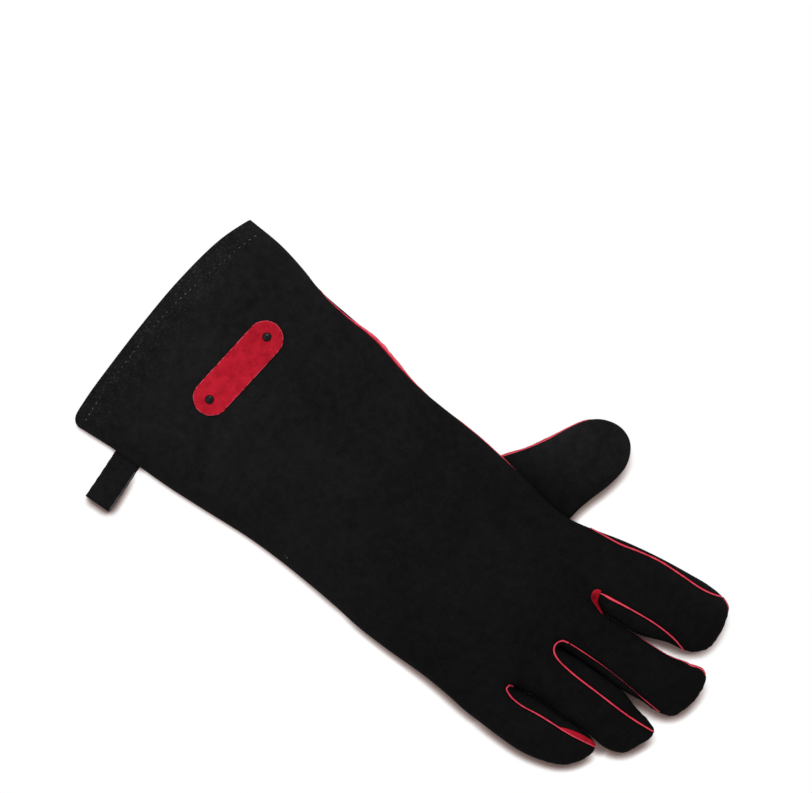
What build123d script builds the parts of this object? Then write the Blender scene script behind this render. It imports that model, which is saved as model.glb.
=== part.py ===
"""Long-cuffed leather heat glove, right hand, lying palm down.

Frame: millimetres, +Y towards the fingertips, +X towards the little finger, +Z out of the
back of the hand. The origin is the centre of the glove's footprint, on the surface it lies on.
"""

from build123d import *
from math import asin, cos, radians, sin, sqrt, tan
import os

os.makedirs("parts", exist_ok=True)

# --- driving dimensions -----------------------------------------------------------------
LENGTH = 406  # mouth of the cuff to the middle fingertip
MOUTH_Y = -LENGTH / 2
MOUTH_X = 4.3  # middle of the mouth
MOUTH_REACH = 95  # past the mouth's corners
MOUTH_PAST = 30  # reaches past the forms' ends
MOUTH_BOW = 350  # radius of its bowed edge
LEATHER = 1.5  # split cowhide
LINING = 2.0  # fleece in the hand, cotton in the cuff
PATCH = 1.4  # red reinforcement under the palm and the index finger
PLAY = 0.15  # room between leather and lining, and between sewn layers
SEAM_Z = 11  # height of the side seams
WELT = 1.2  # thickness of the piping sewn into the seams
WELT_PROUD = 1.0  # how far the piping stands out of a seam
FOLD_GAP = 0.4  # room between two bodies at their fold line
FAR = 320  # reaches past the whole glove
HAND_END_Y = 116  # the fingers part here

# Tube stations from the mouth towards the fingers: y, left x, right x, underside, top.
CUFF_STATIONS = [
    (-208, -78.0, 87.5, 0, 36),
    (-146, -73.0, 83.0, 0, 36),
    (-86, -68.0, 77.6, 0, 35),
    (-46, -60.8, 74.8, 0, 34),
    (-2, -61.0, 75.6, 0, 34),
]
HAND_STATIONS = [
    (-22, -60.8, 75.4, PATCH + 0.1, 34),
    (16, -59.3, 76.7, PATCH + 0.1, 36),
    (54, -55.7, 75.0, PATCH + 0.1, 34),
    (89, -59.3, 75.7, PATCH + 0.1, 29),
    (HAND_END_Y, -65.0, 76.2, PATCH + 0.1, 26.5),
]

# A fold line across the glove: y, height, bend towards the palm, bend towards the back.
WRIST_FOLD = (-11, 17, 32, 32)
KNUCKLE_BEND = (62, 17)
MID_BEND = (53, 15)

# Finger outlines seen from the back: thumb side and little-finger side at the root, then
# little-finger side and thumb side of the tip. Then the tip's radius, the underside, the y of
# the knuckle fold and of the middle fold, and the x that parts it from the next finger.
FINGER_TOP = 25
FINGERS = {
    "index": ([(-64.8, 104), (-30.7, 104), (-36.5, 190), (-79.5, 188)], 14, PATCH + 0.1, 132, 160, -30.6),
    "middle": ([(-27.9, 104), (13.4, 104), (2.4, 202), (-33.4, 202)], 14, 0, 134, 166, 12.2),
    "ring": ([(15.9, 104), (45.0, 104), (40.5, 188), (7.6, 199)], 13, 0, 134, 163, 44.95),
    "little": ([(48.0, 104), (77.3, 104), (69.3, 171), (43.2, 178)], 12, 0, 124, 149, FAR),
}
ROUND_TOP = 10.5  # rounding of a finger's upper edges
ROUND_BASE = 7.5  # rounding of its lower edges

THUMB_OUTLINE = [(-48, 74), (-48, 13), (-118.6, 47.5), (-116.8, 83)]
THUMB_TIP = 17
THUMB_TOP = 24
THUMB_AXIS = (-62.5, 12)  # x and height of the line that the thumb folds about
THUMB_HOLE = ((-72, 26, 5), (-48, 66, 15))  # corners of the way into the thumb
THUMB_BEND = (72, 16)  # towards the palm, towards the back

LABEL_CENTRE = (-1.7, -141)
LABEL_SIZE = (70, 22)
LABEL_TURN = -4
LABEL_LIFT = 0.05  # between the label and the cuff
RIVET_SPACING = 51
RIVET_CAP = (5.6, 1.5)  # diameter and height
RIVET_ROUND = 1.2  # of the cap's rim
RIVET_POST = 2.8
RIVET_WASHER = (6.4, 0.6)
RIVET_PLAY = 0.1  # around the post
RIVET_SEAT = 0.1  # between the cap and the label
RIVET_DRILL = 6  # depth of the post's hole
WASHER_PLAY = 0.3  # between the washer and the lining

LOOP_WIDTH = 17.6
LOOP_PIVOT = (86.3, -160, 12)
LOOP_ROOT = 0.5  # from the pivot to the strip
LOOP_REACH = 27.2  # from the pivot to the centre of the eye
LOOP_EYE = 5.0  # outer radius of the fold
LOOP_TURN = 4  # degrees: the strip is sewn in slightly askew
LOOP_SKIN = 1.48  # thickness of the strip

HEM_INSET = 6.5
STITCH = (2.7, 0.8, 0.5)
STITCH_PITCH = 3.9
STITCH_LIFT = 0.2  # clears the dome under a straight stitch
STITCHES_EACH_SIDE = 17

# Reinforcement sewn under the palm and up the index finger.
PALM_PATCH_TOP = 100.0
PALM_PATCH_BASE = 5.8
PALM_PATCH = [
    (-55, 79),
    (-60.8, 104),
    (-67, 140),
    (-37, 140),
    (-34.7, 104),
    (-27.5, 101.4),
    (-25.5, PALM_PATCH_TOP),
    (70, PALM_PATCH_TOP),
    (71, PALM_PATCH_BASE),
    (-24, PALM_PATCH_BASE),
    (-44, 66),
]
PATCH_INSET = 4  # from the index finger's outline
WRIST_WELT = ((9, 4.8), (118, 1.6))  # centre, length and width
KNUCKLE_WELT = ((10, 100.95), (68, 1.5))


# --- shared construction ----------------------------------------------------------------
def tube_section(station, inset):
    """Flat-bottomed, domed outline of the glove at one station, moved inwards by inset."""
    y, left, right, base, top = station
    x0, x1 = left + inset, right - inset
    z0, z1 = base + inset, top - inset
    corner = SEAM_Z - z0
    with BuildSketch(Plane.XZ.offset(-y)) as section:
        with BuildLine():
            Line((x0 + corner, z0), (x1 - corner, z0))
            RadiusArc((x1 - corner, z0), (x1, SEAM_Z), -corner)
            ThreePointArc((x1, SEAM_Z), ((x0 + x1) / 2, z1), (x0, SEAM_Z))
            RadiusArc((x0, SEAM_Z), (x0 + corner, z0), -corner)
        make_face()
    return section.sketch


def tube(stations, inset):
    """The closed form through all the stations, moved inwards by inset."""
    with BuildPart() as form:
        for station in stations:
            add(tube_section(station, inset))
        loft()
    return form.part


def pad(outline, tip_radius, base, top, inset):
    """A finger's form: its outline with a round tip, thick as the finger and round-edged."""
    with BuildPart() as form:
        with BuildSketch(Plane.XY.offset(base + inset)):
            with BuildLine():
                Polyline(*outline, close=True)
            make_face()
            tip = vertices().sort_by(Axis((0, 0, 0), outline_direction(outline)))[-2:]
            fillet(tip, tip_radius)
            offset(amount=-inset, kind=Kind.INTERSECTION, mode=Mode.REPLACE)
        extrude(amount=top - base - 2 * inset)
        fillet(edges().group_by(Axis.Z)[-1], ROUND_TOP - inset)
        fillet(edges().group_by(Axis.Z)[0], ROUND_BASE - inset)
    return form.part


def outline_direction(outline):
    """From the middle of an outline's root to the middle of its tip."""
    root = (Vector(*outline[0]) + Vector(*outline[1])) * 0.5
    tip = (Vector(*outline[2]) + Vector(*outline[3])) * 0.5
    return tip - root


def cut_past_fold(fold, ahead, low_x=-FAR, high_x=FAR):
    """Take away what is past a fold line, with a V that leaves room for both bends."""
    y, z, to_palm, to_back = fold
    way = 1 if ahead else -1
    edge = y - way * FOLD_GAP
    palm_y = edge - way * z * tan(radians(to_palm / 2))
    back_y = edge - way * FAR * tan(radians(to_back / 2))
    with BuildSketch(Plane.YZ.offset(low_x)) as past:
        with BuildLine():
            Polyline(
                (edge, z),
                (back_y, z + FAR),
                (y + way * 2 * FAR, z + FAR),
                (y + way * 2 * FAR, 0),
                (palm_y, 0),
                close=True,
            )
        make_face()
    extrude(past.sketch, amount=high_x - low_x, mode=Mode.SUBTRACT)


def keep_above(z):
    split(bisect_by=Plane.XY.offset(z), keep=Keep.TOP)


def keep_below(z):
    split(bisect_by=Plane.XY.offset(z), keep=Keep.BOTTOM)


def cut_mouth(inset):
    """Trim the cuff to its gently bowed mouth, inset from the edge."""
    with BuildSketch() as before:
        with BuildLine():
            edge_y = mouth_y(MOUTH_X + MOUTH_REACH) + inset
            left, right = MOUTH_X - MOUTH_REACH, MOUTH_X + MOUTH_REACH
            ThreePointArc((left, edge_y), (MOUTH_X, MOUTH_Y + inset), (right, edge_y))
            past_y = MOUTH_Y - MOUTH_PAST
            Polyline((right, edge_y), (right, past_y), (left, past_y), (left, edge_y))
        make_face()
    extrude(before.sketch, amount=FAR, both=True, mode=Mode.SUBTRACT)


def mouth_y(x):
    """Where the bowed mouth edge crosses x."""
    return MOUTH_Y + MOUTH_BOW - sqrt(MOUTH_BOW**2 - (x - MOUTH_X) ** 2)


def cuff_top_plane(x, y, above):
    """A plane lying on the cuff's dome, raised above its surface."""
    for first, second in zip(CUFF_STATIONS, CUFF_STATIONS[1:]):
        if first[0] <= y <= second[0]:
            share = (y - first[0]) / (second[0] - first[0])
            _, left, right, _, top = [a + (b - a) * share for a, b in zip(first, second)]
    middle, half, rise = (left + right) / 2, (right - left) / 2, top - SEAM_Z
    radius = (half**2 + rise**2) / (2 * rise)
    lean = asin((x - middle) / radius)
    height = top - radius + (radius + above) * cos(lean)
    outward = (x - middle) + above * sin(lean)
    return Plane(
        origin=(middle + outward, y, height),
        x_dir=(cos(lean), 0, -sin(lean)),
        z_dir=(sin(lean), 0, cos(lean)),
    )


def welt_ring(outline, tip_radius):
    """Flat piping that runs up one side, round the tip and down the other side."""
    with BuildPart() as ring:
        with BuildSketch(Plane.XY.offset(SEAM_Z - WELT / 2)):
            with BuildLine():
                Polyline(*outline, close=True)
            make_face()
            tip = vertices().sort_by(Axis((0, 0, 0), outline_direction(outline)))[-2:]
            fillet(tip, tip_radius)
            whole = offset(amount=WELT_PROUD, mode=Mode.PRIVATE)
            inner = offset(amount=-LEATHER, kind=Kind.INTERSECTION, mode=Mode.PRIVATE)
            add(whole, mode=Mode.REPLACE)
            add(inner, mode=Mode.SUBTRACT)
        extrude(amount=WELT)
    return ring.part


def save(builder, name):
    builder.part.label = name
    export_step(builder.part, f"parts/{name}.step")


# --- cuff -------------------------------------------------------------------------------
cuff_outer = tube(CUFF_STATIONS, 0)
cuff_inner = tube(CUFF_STATIONS, LEATHER)
cuff_piping = tube(CUFF_STATIONS, -WELT_PROUD)
cuff_bag = tube(CUFF_STATIONS, LEATHER + PLAY)
cuff_room = tube(CUFF_STATIONS, LEATHER + PLAY + LINING)
label_outer = tube(CUFF_STATIONS, -PATCH - LABEL_LIFT)
label_inner = tube(CUFF_STATIONS, -LABEL_LIFT)

label_line = Vector(cos(radians(LABEL_TURN)), sin(radians(LABEL_TURN))) * (RIVET_SPACING / 2)
rivet_spots = [Vector(*LABEL_CENTRE) + label_line * side for side in (-1, 1)]


def rivet_planes(above):
    return [cuff_top_plane(spot.X, spot.Y, above) for spot in rivet_spots]


with BuildPart() as cuff_back:
    add(cuff_outer)
    add(cuff_inner, mode=Mode.SUBTRACT)
    keep_above(SEAM_Z + WELT / 2)
    cut_mouth(0)
    cut_past_fold(WRIST_FOLD, ahead=True)
    with Locations(*rivet_planes(0)):
        Cylinder(RIVET_POST / 2 + RIVET_PLAY, RIVET_DRILL, mode=Mode.SUBTRACT)
save(cuff_back, "cuff_back")

with BuildPart() as cuff_palm:
    add(cuff_outer)
    add(cuff_inner, mode=Mode.SUBTRACT)
    keep_below(SEAM_Z - WELT / 2)
    cut_mouth(0)
    cut_past_fold(WRIST_FOLD, ahead=True)
save(cuff_palm, "cuff_palm")

with BuildPart() as cuff_side_welts:
    add(cuff_piping)
    add(cuff_inner, mode=Mode.SUBTRACT)
    keep_above(SEAM_Z - WELT / 2)
    keep_below(SEAM_Z + WELT / 2)
    cut_mouth(0)
    cut_past_fold(WRIST_FOLD, ahead=True)
save(cuff_side_welts, "cuff_side_welts")

with BuildPart() as cuff_lining:
    add(cuff_bag)
    add(cuff_room, mode=Mode.SUBTRACT)
    cut_mouth(2)
    cut_past_fold(WRIST_FOLD, ahead=True)
    with Locations(*rivet_planes(-LEATHER)):
        Cylinder(RIVET_WASHER[0] / 2 + WASHER_PLAY, LINING, mode=Mode.SUBTRACT)
save(cuff_lining, "cuff_lining")

# --- label on the cuff ------------------------------------------------------------------
with BuildPart() as label_patch:
    add(label_outer)
    add(label_inner, mode=Mode.SUBTRACT)
    with BuildSketch(Plane(origin=(*LABEL_CENTRE, SEAM_Z)).rotated((0, 0, LABEL_TURN))):
        SlotOverall(*LABEL_SIZE)
    extrude(amount=FAR, mode=Mode.INTERSECT)
    with Locations(*rivet_planes(0)):
        Cylinder(RIVET_POST / 2 + RIVET_PLAY, RIVET_DRILL, mode=Mode.SUBTRACT)
save(label_patch, "label_patch")

with BuildPart() as rivet_caps:
    for plane in rivet_planes(PATCH + LABEL_LIFT + RIVET_SEAT):
        with Locations(plane):
            Cylinder(RIVET_CAP[0] / 2, RIVET_CAP[1], align=(Align.CENTER, Align.CENTER, Align.MIN))
        rims = edges(Select.LAST).filter_by(GeomType.CIRCLE)
        fillet(rims.sort_by(Axis(plane.origin, plane.z_dir))[-1], RIVET_ROUND)
save(rivet_caps, "rivet_caps")

with BuildPart() as rivet_posts:
    with Locations(*rivet_planes(-LEATHER - RIVET_WASHER[1])):
        Cylinder(
            RIVET_POST / 2,
            LEATHER + RIVET_WASHER[1] + LABEL_LIFT + PATCH + RIVET_SEAT / 2,
            align=(Align.CENTER, Align.CENTER, Align.MIN),
        )
save(rivet_posts, "rivet_posts")

with BuildPart() as rivet_washers:
    with Locations(*rivet_planes(-LEATHER - RIVET_WASHER[1] - LABEL_LIFT / 2)):
        Cylinder(RIVET_WASHER[0] / 2, RIVET_WASHER[1], align=(Align.CENTER, Align.CENTER, Align.MIN))
        Cylinder(RIVET_POST / 2 + LABEL_LIFT, RIVET_DRILL, mode=Mode.SUBTRACT)
save(rivet_washers, "rivet_washers")

# --- hem stitching ----------------------------------------------------------------------
stitch_numbers = range(-STITCHES_EACH_SIDE, STITCHES_EACH_SIDE + 1)
stitch_spots = [MOUTH_X + STITCH_PITCH * number for number in stitch_numbers]
with BuildPart() as hem_stitches:
    with Locations(*[cuff_top_plane(x, mouth_y(x) + HEM_INSET, STITCH_LIFT) for x in stitch_spots]):
        Box(*STITCH, align=(Align.CENTER, Align.CENTER, Align.MIN))
save(hem_stitches, "hem_stitches")

# --- hanging loop -----------------------------------------------------------------------
loop_drop = LOOP_PIVOT[2] - LOOP_EYE
turn = radians(LOOP_TURN)
loop_plane = Plane(
    origin=LOOP_PIVOT, x_dir=(cos(turn), sin(turn), 0), z_dir=(sin(turn), -cos(turn), 0)
)


def loop_outline(inset):
    """Side view of the folded strip: two layers sewn together at the root, apart at the fold."""
    eye = LOOP_EYE - inset
    root = LEATHER - inset
    with BuildSketch(loop_plane) as outline:
        with BuildLine():
            Line((LOOP_ROOT, root), (LOOP_REACH, eye - loop_drop))
            ThreePointArc(
                (LOOP_REACH, eye - loop_drop),
                (LOOP_REACH + eye, -loop_drop),
                (LOOP_REACH, -eye - loop_drop),
            )
            Line((LOOP_REACH, -eye - loop_drop), (LOOP_ROOT, -root))
            Line((LOOP_ROOT, -root), (LOOP_ROOT, root))
        make_face()
    return outline.sketch


with BuildPart() as hang_loop:
    extrude(loop_outline(0), amount=LOOP_WIDTH / 2, both=True)
    extrude(loop_outline(LOOP_SKIN), amount=LOOP_WIDTH / 2, both=True, mode=Mode.SUBTRACT)
save(hang_loop, "hang_loop")

# --- hand -------------------------------------------------------------------------------
def knuckle_fold(finger):
    _, _, base, knuckle_y, _, _ = FINGERS[finger]
    return (knuckle_y, base + FINGER_TOP / 2, *KNUCKLE_BEND)


def hand_form(inset):
    """The hand and the roots of its four fingers, moved inwards by inset."""
    with BuildPart() as form:
        add(tube(HAND_STATIONS, inset))
        split(bisect_by=Plane.XZ.offset(-HAND_END_Y + max(inset, 0)), keep=Keep.TOP)
        for outline, tip_radius, base, *_ in FINGERS.values():
            add(pad(outline, tip_radius, base, base + FINGER_TOP, inset))
    return form.part


def cut_hand_ends():
    """Trim the hand at the wrist fold, and each finger's root at its own knuckle fold."""
    cut_past_fold(WRIST_FOLD, ahead=False)
    low_x = -FAR
    for finger, (*_, high_x) in FINGERS.items():
        cut_past_fold(knuckle_fold(finger), True, low_x, high_x)
        low_x = high_x


hand_outer = hand_form(0)
hand_inner = hand_form(LEATHER)
hand_bag = hand_form(LEATHER + PLAY)
hand_room = hand_form(LEATHER + PLAY + LINING)


def cut_thumb_hole():
    """The way from the hand into the thumb, through the side of the glove."""
    low, high = Vector(*THUMB_HOLE[0]), Vector(*THUMB_HOLE[1])
    with Locations((low + high) * 0.5):
        Box(*(high - low), mode=Mode.SUBTRACT)


with BuildPart() as hand_back:
    add(hand_outer)
    add(hand_inner, mode=Mode.SUBTRACT)
    keep_above(SEAM_Z + WELT / 2)
    cut_hand_ends()
    cut_thumb_hole()
save(hand_back, "hand_back")

with BuildPart() as hand_palm:
    add(hand_outer)
    add(hand_inner, mode=Mode.SUBTRACT)
    keep_below(SEAM_Z - WELT / 2)
    cut_hand_ends()
    cut_thumb_hole()
save(hand_palm, "hand_palm")

with BuildPart() as hand_side_welts:
    add(tube(HAND_STATIONS, -WELT_PROUD))
    keep_above(SEAM_Z - WELT / 2)
    keep_below(SEAM_Z + WELT / 2)
    for outline, tip_radius, *_ in FINGERS.values():
        add(welt_ring(outline, tip_radius))
    add(hand_inner, mode=Mode.SUBTRACT)
    cut_hand_ends()
    cut_thumb_hole()
save(hand_side_welts, "hand_side_welts")

with BuildPart() as hand_lining:
    add(hand_bag)
    add(hand_room, mode=Mode.SUBTRACT)
    split(bisect_by=Plane.XZ.offset(-WRIST_FOLD[0]), keep=Keep.BOTTOM)
    cut_thumb_hole()
    low_x = -FAR
    for *_, knuckle_y, _, high_x in FINGERS.values():
        cut_past_fold((knuckle_y, 0, 0, 0), True, low_x, high_x)
        low_x = high_x
save(hand_lining, "hand_lining")

# --- reinforcement under the palm -------------------------------------------------------
with BuildPart() as palm_patch:
    with BuildSketch():
        with BuildLine():
            Polyline(*PALM_PATCH, close=True)
        make_face()
    extrude(amount=PATCH)
    cut_past_fold(knuckle_fold("index"), ahead=True)
save(palm_patch, "palm_patch")

with BuildPart() as wrist_welt:
    with BuildSketch():
        with Locations(WRIST_WELT[0]):
            SlotOverall(*WRIST_WELT[1])
    extrude(amount=PATCH)
save(wrist_welt, "wrist_welt")

with BuildPart() as knuckle_welt:
    with BuildSketch():
        with Locations(KNUCKLE_WELT[0]):
            SlotOverall(*KNUCKLE_WELT[1])
    extrude(amount=PATCH)
save(knuckle_welt, "knuckle_welt")


# --- fingers ----------------------------------------------------------------------------
def make_segment(name, outer, inner, piping, cuts):
    """The back, palm and piping of one stretch of a finger, between its fold lines."""
    low, high = SEAM_Z - WELT / 2, SEAM_Z + WELT / 2
    with BuildPart() as back:
        add(outer)
        add(inner, mode=Mode.SUBTRACT)
        keep_above(high)
        for fold, ahead in cuts:
            cut_past_fold(fold, ahead)
    save(back, f"{name}_back")
    with BuildPart() as palm:
        add(outer)
        add(inner, mode=Mode.SUBTRACT)
        keep_below(low)
        for fold, ahead in cuts:
            cut_past_fold(fold, ahead)
    save(palm, f"{name}_palm")
    with BuildPart() as welts:
        add(piping)
        for fold, ahead in cuts:
            cut_past_fold(fold, ahead)
    save(welts, f"{name}_welts")


for finger, (outline, tip_radius, base, knuckle_y, mid_y, _) in FINGERS.items():
    outer = pad(outline, tip_radius, base, base + FINGER_TOP, 0)
    inner = pad(outline, tip_radius, base, base + FINGER_TOP, LEATHER)
    bag = pad(outline, tip_radius, base, base + FINGER_TOP, LEATHER + PLAY)
    room = pad(outline, tip_radius, base, base + FINGER_TOP, LEATHER + PLAY + LINING)
    piping = welt_ring(outline, tip_radius)
    mid_fold = (mid_y, base + FINGER_TOP / 2, *MID_BEND)
    root_fold = knuckle_fold(finger)
    make_segment(f"{finger}_base", outer, inner, piping, [(root_fold, False), (mid_fold, True)])
    make_segment(f"{finger}_tip", outer, inner, piping, [(mid_fold, False)])
    with BuildPart() as lining:
        add(bag)
        add(room, mode=Mode.SUBTRACT)
        cut_past_fold((knuckle_y, 0, 0, 0), False)
    save(lining, f"{finger}_lining")
    if base > 0:
        for part_name, cuts in (
            ("base", [(root_fold, False), (mid_fold, True)]),
            ("tip", [(mid_fold, False)]),
        ):
            with BuildPart() as patch:
                with BuildSketch():
                    with BuildLine():
                        Polyline(*outline, close=True)
                    make_face()
                    tip = vertices().sort_by(Axis((0, 0, 0), outline_direction(outline)))[-2:]
                    fillet(tip, tip_radius)
                    offset(amount=-PATCH_INSET, kind=Kind.INTERSECTION, mode=Mode.REPLACE)
                extrude(amount=PATCH)
                for fold, ahead in cuts:
                    cut_past_fold(fold, ahead)
            save(patch, f"{finger}_patch_{part_name}")


# --- thumb ------------------------------------------------------------------------------
def cut_thumb_root(straight):
    """Trim the thumb beside the hand: square, or with a V that lets it fold to the palm."""
    x, z = THUMB_AXIS
    to_palm, to_back = THUMB_BEND
    under = x if straight else x - z * tan(radians(to_palm / 2))
    over = x if straight else x - (FAR - z) * tan(radians(to_back / 2))
    with BuildSketch(Plane.XZ) as past:
        with BuildLine():
            Polyline((under, 0), (x, z), (over, FAR), (x + FAR, FAR), (x + FAR, 0), close=True)
        make_face()
    extrude(past.sketch, amount=FAR, both=True, mode=Mode.SUBTRACT)


thumb_outer = pad(THUMB_OUTLINE, THUMB_TIP, 0, THUMB_TOP, 0)
thumb_inner = pad(THUMB_OUTLINE, THUMB_TIP, 0, THUMB_TOP, LEATHER)
thumb_bag = pad(THUMB_OUTLINE, THUMB_TIP, 0, THUMB_TOP, LEATHER + PLAY)
thumb_room = pad(THUMB_OUTLINE, THUMB_TIP, 0, THUMB_TOP, LEATHER + PLAY + LINING)
thumb_piping = welt_ring(THUMB_OUTLINE, THUMB_TIP)

with BuildPart() as thumb_back:
    add(thumb_outer)
    add(thumb_inner, mode=Mode.SUBTRACT)
    keep_above(SEAM_Z + WELT / 2)
    cut_thumb_root(straight=False)
save(thumb_back, "thumb_back")

with BuildPart() as thumb_palm:
    add(thumb_outer)
    add(thumb_inner, mode=Mode.SUBTRACT)
    keep_below(SEAM_Z - WELT / 2)
    cut_thumb_root(straight=False)
save(thumb_palm, "thumb_palm")

with BuildPart() as thumb_welts:
    add(thumb_piping)
    cut_thumb_root(straight=False)
save(thumb_welts, "thumb_welts")

with BuildPart() as thumb_lining:
    add(thumb_bag)
    add(thumb_room, mode=Mode.SUBTRACT)
    cut_thumb_root(straight=True)
save(thumb_lining, "thumb_lining")
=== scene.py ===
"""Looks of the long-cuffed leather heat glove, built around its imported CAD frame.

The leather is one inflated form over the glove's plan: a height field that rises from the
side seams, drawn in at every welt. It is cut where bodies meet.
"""

import math

import bpy
import numpy as np
from mathutils import Matrix, Vector, geometry, noise


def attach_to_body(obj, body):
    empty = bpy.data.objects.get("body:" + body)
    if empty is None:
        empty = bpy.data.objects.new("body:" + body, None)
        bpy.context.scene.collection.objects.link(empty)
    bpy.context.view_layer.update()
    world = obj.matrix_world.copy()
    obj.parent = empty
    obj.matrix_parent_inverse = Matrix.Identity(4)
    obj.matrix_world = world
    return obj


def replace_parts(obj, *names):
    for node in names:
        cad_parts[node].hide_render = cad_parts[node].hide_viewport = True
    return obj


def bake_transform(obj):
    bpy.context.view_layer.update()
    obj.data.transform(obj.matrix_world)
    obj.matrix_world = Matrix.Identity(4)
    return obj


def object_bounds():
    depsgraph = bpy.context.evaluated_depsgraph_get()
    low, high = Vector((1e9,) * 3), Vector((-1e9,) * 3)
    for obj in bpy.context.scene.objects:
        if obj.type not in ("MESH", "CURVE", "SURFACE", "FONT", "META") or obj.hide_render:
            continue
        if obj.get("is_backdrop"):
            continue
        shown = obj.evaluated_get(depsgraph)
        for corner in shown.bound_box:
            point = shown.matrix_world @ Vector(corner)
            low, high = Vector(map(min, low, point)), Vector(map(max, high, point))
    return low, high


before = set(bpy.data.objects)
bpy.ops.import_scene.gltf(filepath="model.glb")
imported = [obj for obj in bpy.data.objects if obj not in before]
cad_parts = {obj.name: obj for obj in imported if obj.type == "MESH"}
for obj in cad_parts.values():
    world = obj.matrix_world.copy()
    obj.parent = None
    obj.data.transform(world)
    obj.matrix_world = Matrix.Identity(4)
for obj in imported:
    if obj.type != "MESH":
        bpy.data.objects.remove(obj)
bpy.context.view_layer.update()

MM = 0.001
LEATHER = 1.5  # thickness of the hide, mm
LINING = 1.8  # how much further in the lining's face lies
SEAM_Z = 11.0  # height of the side seams, mm
THUMB_SEAM_Z = 9.5

# --- plan of the glove, mm ---
RADIAL_SIDE = [
    (-77, -192.4), (-76.5, -168), (-73.4, -148), (-69.8, -132), (-68.6, -108), (-67.6, -84),
    (-64, -65), (-61, -47), (-60.5, -15), (-60.3, 0), (-59.3, 16), (-58, 33), (-55.8, 50),
    (-54.8, 67), (-55.9, 76), (-59.3, 88.5),
]
INDEX_SIDE = [
    (-65.7, 109), (-71, 131), (-74.7, 152), (-76.6, 166), (-76.2, 177), (-72.8, 184.3),
    (-64, 188.4), (-47.8, 190), (-39.6, 185), (-36, 178), (-33.6, 168), (-29.0, 157.5),
    (-26.1, 150), (-24.7, 138), (-23.8, 127), (-26.1, 118.5),
]
CROTCH_INDEX = [(-27, 115.2)]
MIDDLE_SIDE = [
    (-25.6, 118.5), (-23.4, 127), (-24.3, 138), (-25.4, 152), (-26.6, 165), (-27.8, 174),
    (-31.3, 185), (-34, 194), (-31.7, 199.2), (-23, 202.6), (-11, 202.2), (0, 198),
    (3.7, 188), (4.3, 178), (6.3, 165), (6.7, 148), (7.9, 130), (8.8, 121),
]
CROTCH_MIDDLE = [(9.3, 117.6)]
RING_SIDE = [
    (9.4, 121), (8.2, 130), (7.0, 148), (6.7, 165), (9.4, 177), (11, 188), (13.2, 194.6),
    (16.6, 196.1), (26.6, 193.4), (36.4, 188.4), (40.6, 178), (40.2, 166), (40.3, 157),
    (41.7, 144), (42.3, 128), (44.5, 115),
]
CROTCH_RING = [(46.3, 110.2)]
LITTLE_SIDE = [
    (45.0, 115.5), (42.6, 128), (42.0, 144), (40.6, 157), (40.7, 166), (42.6, 171.4),
    (46, 173.8), (53.6, 172.3), (61.7, 167.3), (66.5, 161.5), (71.1, 151), (74.4, 138),
    (75.5, 123), (75.8, 108), (76, 97),
]
ULNAR_SIDE = [
    (75.2, 84), (74.8, 64), (76.3, 36), (76.6, 14), (75.2, -9), (74.6, -45), (75.6, -72),
    (79.3, -105), (81.9, -130), (84, -165), (87, -192.5),
]
MOUTH = [
    (87, -192.5), (87.2, -196.6), (83.9, -200.1), (71, -201.8), (41, -202.7), (10, -203),
    (-21, -202.1), (-55, -198.3), (-77, -192.4),
]
THUMB = [
    (-49, 13), (-59.6, 18), (-72.6, 26.6), (-84, 32.7), (-96.6, 38.1), (-105.2, 42.2), (-110, 45.4),
    (-115, 51), (-118.2, 58.8), (-118.5, 66), (-116, 72.6), (-111, 77.4), (-102, 81), (-87, 80.2),
    (-75, 77.2), (-64, 74.9), (-49, 73.5),
]
ROOTS = {"index": 119.0, "middle": 120.0, "ring": 120.0, "little": 112.0}
CUTS = {"index": 146.5, "middle": 150.0, "ring": 149.0, "little": 137.0}
TIP_ROUGHNESS = 0.45  # unevenness of the trimmed seams at the fingertips, mm
FINGER_PARTS = [f"{finger}_{part}" for finger in ROOTS for part in ("base", "tip")]


def smooth(points, step=1.5):
    """A centripetal Catmull-Rom curve through the points, sampled about every step."""
    p = [np.array(q, float) for q in points]
    p = [2 * p[0] - p[1], *p, 2 * p[-1] - p[-2]]
    out = []
    for a, b, c, d in zip(p, p[1:], p[2:], p[3:]):
        t1 = max(np.linalg.norm(b - a), 1e-6) ** 0.5
        t2 = t1 + max(np.linalg.norm(c - b), 1e-6) ** 0.5
        t3 = t2 + max(np.linalg.norm(d - c), 1e-6) ** 0.5
        count = max(1, int(round(np.linalg.norm(c - b) / step)))
        for t in np.linspace(t1, t2, count, endpoint=False):
            a1 = a + (b - a) * t / t1
            a2 = b + (c - b) * (t - t1) / (t2 - t1)
            a3 = c + (d - c) * (t - t2) / (t3 - t2)
            b1 = a1 + (a2 - a1) * t / t2
            b2 = a2 + (a3 - a2) * (t - t1) / (t3 - t1)
            out.append(b1 + (b2 - b1) * (t - t1) / (t2 - t1))
    out.append(p[-2])
    return np.array(out)


def distance(points, line):
    """Distance from each point to a polyline."""
    points = np.asarray(points, float)
    best = np.full(len(points), 1e9)
    a, b = line[:-1], line[1:]
    for start in range(0, len(points), 4000):
        p = points[start : start + 4000, None, :]
        ab = (b - a)[None]
        t = ((p - a[None]) * ab).sum(2) / np.maximum((ab * ab).sum(2), 1e-12)
        near = a[None] + np.clip(t, 0, 1)[..., None] * ab
        best[start : start + 4000] = np.sqrt(((p - near) ** 2).sum(2).min(1))
    return best


def inside(points, polygon):
    """Which points lie inside a closed polygon."""
    x, y = points[:, 0], points[:, 1]
    result = np.zeros(len(points), bool)
    for (x0, y0), (x1, y1) in zip(polygon, np.roll(polygon, -1, 0)):
        if y0 != y1:
            crosses = (y0 > y) != (y1 > y)
            result ^= crosses & (x < (x1 - x0) * (y - y0) / (y1 - y0) + x0)
    return result


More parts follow.
